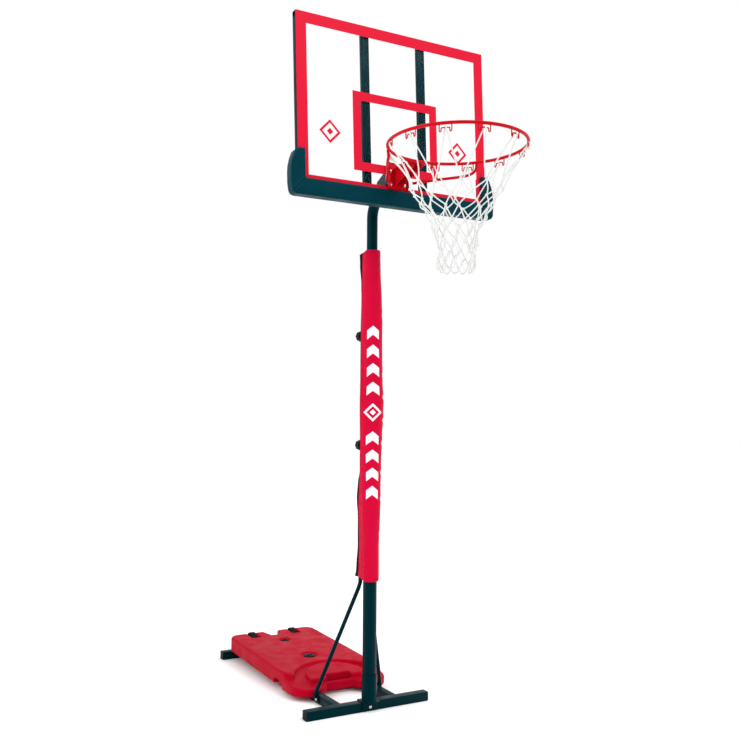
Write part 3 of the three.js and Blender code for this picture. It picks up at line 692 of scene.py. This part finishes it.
def pad_section(t, low, height):
    """One closed loop of the padding at height t: the outer skin and flaps, then the lining back again."""
    side = curve_at(PAD_SIDE, t)
    back = curve_at(PAD_BACK, t)
    flap = curve_at(PAD_FLAP, t)
    close = max(0.0, 0.008 - min(t, 1 - t) * height)
    side -= 0.4 * close * close / 0.008
    flare = flap * 0.2
    outer = [(-side - flare, back + flap), (-side - flare * 0.5, back + flap * 0.5), (-side, back + 0.0008)]
    outer += [(-side, back * k / 4) for k in (4, 3, 2, 1)]
    outer += [(-side * math.cos(a), -side * math.sin(a)) for a in np.linspace(0, math.pi, 29)]
    outer += [(side, back * k / 4) for k in (1, 2, 3, 4)]
    outer += [(side, back + 0.0008), (side + flare * 0.5, back + flap * 0.5), (side + flare, back + flap)]
    shift = curve_at(PAD_SHIFT, t)
    outer = [(x + shift * min(1.0, max(0.0, (0.008 - y) / 0.012)), y) for x, y in outer]
    inner_r = min(PAD_INNER, side - 0.002)
    tuck = inner_r + 0.002
    inner = [(side + flare - 0.0018, back + flap), (side + flare * 0.5 - 0.002, back + flap * 0.5), (tuck, back)]
    inner += [(inner_r, back * k / 3) for k in (2, 1)]
    inner += [(inner_r * math.cos(a), -inner_r * math.sin(a)) for a in np.linspace(0, math.pi, 25)]
    inner += [(-inner_r, back * k / 3) for k in (1, 2)]
    inner += [(-tuck, back), (-side - flare * 0.5 + 0.002, back + flap * 0.5), (-side - flare + 0.0018, back + flap)]
    z = low + t * height
    slope = PAD_HEM * (1 - 2 * t) if close > 0 else 0.0
    return [Vector((x, y, z + slope * max(0.0, y + 0.01) / 0.05)) for x, y in outer + inner], len(outer)


def pad_mesh():
    low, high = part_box("pole_padding")
    height = high.z - low.z
    rings = 220
    vertices, faces = [], []
    for i in range(rings + 1):
        loop, outer_count = pad_section(i / rings, low.z, height)
        vertices += loop
        count = len(loop)
        if i:
            for k in range(count):
                n = (k + 1) % count
                faces.append(((i - 1) * count + k, (i - 1) * count + n, i * count + n, i * count + k))
    mesh = mesh_from("padding", vertices, faces)
    work = bmesh.new()
    work.from_mesh(mesh)
    work.verts.ensure_lookup_table()
    for start in (0, rings * count):
        cap_ring(work, start, count, outer_count)
    bmesh.ops.recalc_face_normals(work, faces=work.faces)
    work.to_mesh(mesh)
    work.free()
    return mesh, count, outer_count


def cap_ring(work, start, count, outer_count):
    """Closes an end with quads between the outer skin and the lining."""
    outer = [work.verts[start + k] for k in range(outer_count)]
    inner = [work.verts[start + k] for k in range(outer_count, count)][::-1]
    i = j = 0
    while i < len(outer) - 1 or j < len(inner) - 1:
        step_outer = j >= len(inner) - 1 or (i < len(outer) - 1 and i / (len(outer) - 1) <= j / (len(inner) - 1))
        if step_outer:
            work.faces.new((outer[i], outer[i + 1], inner[j]))
            i += 1
        else:
            work.faces.new((outer[i], inner[j + 1], inner[j]))
            j += 1


def simulate(piece, pinned, cap, pressure=4.0, frames=20):
    """Inflates a closed piece as cloth, keeping each point within cap of where it started."""
    start = points_of(piece.data)
    group = piece.vertex_groups.new(name="pinned")
    group.add([int(i) for i in pinned], 1.0, "REPLACE")
    modifier = piece.modifiers.new("cloth", "CLOTH")
    settings = modifier.settings
    settings.quality = 5
    settings.mass = 0.3
    settings.tension_stiffness = 12
    settings.compression_stiffness = 8
    settings.bending_stiffness = 0.4
    settings.use_pressure = True
    settings.uniform_pressure_force = pressure
    settings.effector_weights.gravity = 0
    settings.vertex_group_mass = "pinned"
    scene = bpy.context.scene
    for step in range(1, frames + 1):
        scene.frame_set(step)
    graph = bpy.context.evaluated_depsgraph_get()
    moved = points_of(piece.evaluated_get(graph).to_mesh())
    piece.modifiers.clear()
    scene.frame_set(1)
    move = moved - start
    length = np.linalg.norm(move, axis=1)
    move *= np.minimum(1.0, cap / np.maximum(length, 1e-9))[:, None]
    put_points(piece.data, start + move)


# Each crease: its height as a share of the padding's, its slant, its depth and its width.
PAD_CREASES = [(0.553, 0.3, 0.0042, 0.0075), (0.494, -0.3, 0.0034, 0.0065), (0.412, 0.35, 0.0034, 0.007),
               (0.335, -0.3, 0.0036, 0.007), (0.245, 0.3, 0.0022, 0.007), (0.63, -0.3, 0.0018, 0.008),
               (0.80, 0.2, 0.0014, 0.009), (0.14, 0.25, 0.0014, 0.007)]


def soften(points, low, height):
    """Hand-made unevenness of a stuffed sleeve: broad dents, and creases across the front."""
    x, y, z = points.T
    t = (z - low) / height
    turn = np.arctan2(x, -y)
    broad = 0.0014 * np.sin(9.0 * t + 1.3 * np.sin(turn)) + 0.0011 * np.sin(23.0 * t + 2.0 * turn)
    creases = 0.0
    for place, slant, depth, width in PAD_CREASES:
        reach = np.abs(t - place - slant * 0.02 * np.sin(turn)) * height
        fold = np.exp(-((reach / width) ** 2)) - 0.45 * np.exp(-(((reach - 2.2 * width) / (1.6 * width)) ** 2))
        creases = creases - depth * fold * (0.25 + 0.75 * np.clip(np.sin(turn * 0.9) ** 2, 0, 1))
    return broad + creases


def make_padding(outside, inside):
    low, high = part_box("pole_padding")
    mesh, count, outer_count = pad_mesh()
    piece = add_piece("padding_cover", mesh, outside)
    mesh.materials.append(inside)
    total = len(mesh.vertices)
    within = np.arange(total) % count
    ring = np.arange(total) // count
    seams = (ring % 37 == 0) | (within >= outer_count) | (within < 5) | (within > outer_count - 6)
    simulate(piece, np.nonzero(seams)[0], 0.005)
    points = points_of(mesh)
    height = high.z - low.z
    push = soften(points, low.z, height)
    outward = points[:, :2] / np.maximum(np.linalg.norm(points[:, :2], axis=1), 1e-6)[:, None]
    skin = (within < outer_count) & (within > 6) & (within < outer_count - 7)
    points[skin, :2] += outward[skin] * push[skin, None]
    reach = np.linalg.norm(points[:, :2], axis=1)
    sunk = skin & (points[:, 1] < 0) & (reach < PAD_INNER + PAD_WALL)
    points[sunk, :2] *= ((PAD_INNER + PAD_WALL) / reach[sunk])[:, None]
    put_points(mesh, points)
    for polygon in mesh.polygons:
        polygon.use_smooth = True
        places = [v % count for v in polygon.vertices]
        if all(k < 3 or k >= outer_count - 3 for k in places):
            polygon.material_index = 1
    subdivide = piece.modifiers.new("subdivide", "SUBSURF")
    subdivide.levels = subdivide.render_levels = 1
    apply_modifiers(piece)
    settle(piece, "pole_padding")
    return piece


def make_straps(material):
    """Woven straps that close the padding behind the pole, from one rear edge round to the other."""
    pad_low, pad_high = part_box("pole_padding")
    for label in ("lower", "middle", "upper"):
        low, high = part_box("padding_strap_" + label)
        t = ((low.z + high.z) / 2 - pad_low.z) / (pad_high.z - pad_low.z)
        end_y = curve_at(PAD_BACK, t) + curve_at(PAD_FLAP, t)
        vertices, faces = [], []
        columns, rows = 24, 6
        for i in range(columns + 1):
            u = i / columns
            x = low.x + (high.x - low.x) * u
            y = end_y + (high.y - end_y) * math.sin(math.pi * u) ** 0.5
            for k in range(rows + 1):
                z = low.z + (high.z - low.z) * k / rows
                vertices.append(Vector((x, y, z)))
        for i in range(columns):
            for k in range(rows):
                a = i * (rows + 1) + k
                faces.append((a, a + rows + 1, a + rows + 2, a + 1))
        piece = add_piece("webbing_" + label, mesh_from("webbing", vertices, faces), material)
        thick = piece.modifiers.new("thick", "SOLIDIFY")
        thick.thickness = 0.0016
        edge = piece.modifiers.new("edge", "BEVEL")
        edge.width = 0.0005
        edge.segments = 2
        apply_modifiers(piece)
        settle(piece, "padding_strap_" + label)


# ---- edge pad ----


PAD_CORNER_X, PAD_CORNER_Z = 0.379, 1.970  # the pad's inner corner, where its mitre groove starts
MITRE = (0.683, 0.730)  # the groove runs outward and down in this proportion


def make_edge_pad(material):
    """Moulded foam round the board's lower edge, with a groove at each mitred corner."""
    piece = remeshed("edge_pad", material, 0.0028, 4)
    points = points_of(piece.data)
    front = normals_of(piece.data)[:, 1] < -0.5
    beside, above = np.abs(points[:, 0]) - PAD_CORNER_X, points[:, 2] - PAD_CORNER_Z
    off_line = np.abs(beside * MITRE[1] + above * MITRE[0])
    outward = beside * MITRE[0] - above * MITRE[1] > -0.002
    groove = 0.0024 * np.exp(-(off_line / 0.0022) ** 2) - 0.0016 * np.exp(-((off_line - 0.0052) / 0.0024) ** 2)
    points[:, 1] += np.where(front & outward, groove, 0.0)
    put_points(piece.data, points)
    settle(piece, "edge_pad")
    return piece


# ---- tank, wheels ----


HUB_Y = 0.255
HUB_R = 0.132
FLUTES = 44


def make_tank(material):
    """Blow-moulded tank: rounded edges, and shallow upright flutes on the side of its raised hub."""
    piece = remeshed("ballast_tank", material, 0.0031, 4)
    points = points_of(piece.data)
    normal = normals_of(piece.data)
    out = points[:, :2] - (0.0, HUB_Y)
    r = np.linalg.norm(out, axis=1)
    on_wall = (np.abs(r - HUB_R) < 0.006) & (np.abs(normal[:, 2]) < 0.6) & (points[:, 2] > 0.045)
    wave = 0.0014 * np.sin(FLUTES * np.arctan2(out[:, 1], out[:, 0]))
    points[:, :2] += out / np.maximum(r, 1e-6)[:, None] * np.where(on_wall, wave, 0.0)[:, None]
    put_points(piece.data, points)
    settle(piece, "ballast_tank")
    return piece


def turned(profile, sides=64):
    """Vertices and faces of a closed (radius, height) profile turned round Z."""
    vertices, faces = [], []
    count = len(profile)
    for i in range(sides):
        a = 2 * math.pi * i / sides
        for r, z in profile:
            vertices.append(Vector((r * math.cos(a), r * math.sin(a), z)))
        j = (i + 1) % sides
        for k in range(count):
            n = (k + 1) % count
            faces.append((i * count + k, j * count + k, j * count + n, i * count + n))
    return vertices, faces


def make_wheels(material):
    """Moulded wheels with a rounded tread and eight spokes between hub and rim."""
    for side in ("left", "right"):
        low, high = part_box("wheel_" + side)
        centre = (low + high) / 2
        r = (high.z - low.z) / 2
        h = (high.x - low.x) / 2
        hub, rim, web = 0.012, r - 0.006, h - 0.006
        profile = [(0.0047, -h + 0.001), (0.0057, -h), (hub - 0.001, -h), (hub, -h + 0.001), (hub + 0.001, -web),
                   (rim - 0.001, -web), (rim, -h + 0.001), (rim + 0.001, -h), (r - 0.003, -h), (r - 0.001, -h + 0.001),
                   (r, -h + 0.003), (r, h - 0.003), (r - 0.001, h - 0.001), (r - 0.003, h), (rim + 0.001, h),
                   (rim, h - 0.001), (rim - 0.001, web), (hub + 0.001, web), (hub, h - 0.001), (hub - 0.001, h),
                   (0.0057, h), (0.0047, h - 0.001)]
        shapes = [turned(profile)]
        for i in range(8):
            shapes.append(spoke(2 * math.pi * i / 8, hub - 0.001, rim + 0.001, h - 0.003))
        vertices, faces = [], []
        mesh = join_shapes("wheel", shapes)
        mesh.transform(Matrix.Translation(centre) @ Matrix.Rotation(math.pi / 2, 4, "Y"))
        piece = add_piece("spoked_wheel_" + side, mesh, material)
        piece.data.set_sharp_from_angle(angle=math.radians(40))
        settle(piece, "wheel_" + side)


def spoke(angle, start, end, half):
    """A thin radial rib, as a box that runs into hub and rim."""
    out = Vector((math.cos(angle), math.sin(angle), 0))
    along = Vector((-math.sin(angle), math.cos(angle), 0))
    vertices = []
    for r in (start, end):
        for t in (-0.0012, 0.0012):
            for z in (-half, half):
                vertices.append(out * r + along * t + Vector((0, 0, z)))
    faces = [(0, 1, 3, 2), (4, 6, 7, 5), (0, 4, 5, 1), (2, 3, 7, 6), (0, 2, 6, 4), (1, 5, 7, 3)]
    return vertices, faces


# ---- assembly ----


def finish_hardware(looks):
    """Every CAD node that has no special stand-in gets a refined one."""
    own = {"ballast_tank", "pole_padding", "edge_pad", "net", "ring", "ring_stay_left", "ring_stay_right", "wheel_left",
           "wheel_right", "acrylic_panel", "padding_strap_lower", "padding_strap_middle", "padding_strap_upper"}
    for node in sorted(nodes):
        if node in own:
            continue
        small = "bolt" in node or "axle" in node
        refined(node, looks[slot_of_node[node]], 0.0005 if small else 0.0011, 2 if small else 3)


def main():
    make_camera()
    make_studio()
    looks = {
        "green_steel": powder_coat("green_powder_coat", rgb(0, 22, 28), (0.02, 0.8, 1)),
        "red_steel": powder_coat("red_powder_coat", rgb(185, 8, 22), (1, 0.1, 0.15), 0.33),
        "zinc_steel": zinc_plate(),
        "black_plastic": black_plastic(),
    }
    make_ring(looks["red_steel"])
    make_stays(looks["red_steel"])
    make_net(net_cord())
    make_padding(cover_fabric(), lining())
    make_straps(lining())
    make_edge_pad(foam_skin())
    make_tank(tank_plastic())
    make_wheels(looks["black_plastic"])
    finish_hardware(looks)
    panel = nodes["acrylic_panel"]
    panel.data.materials.clear()
    panel.data.materials.append(acrylic())


main()
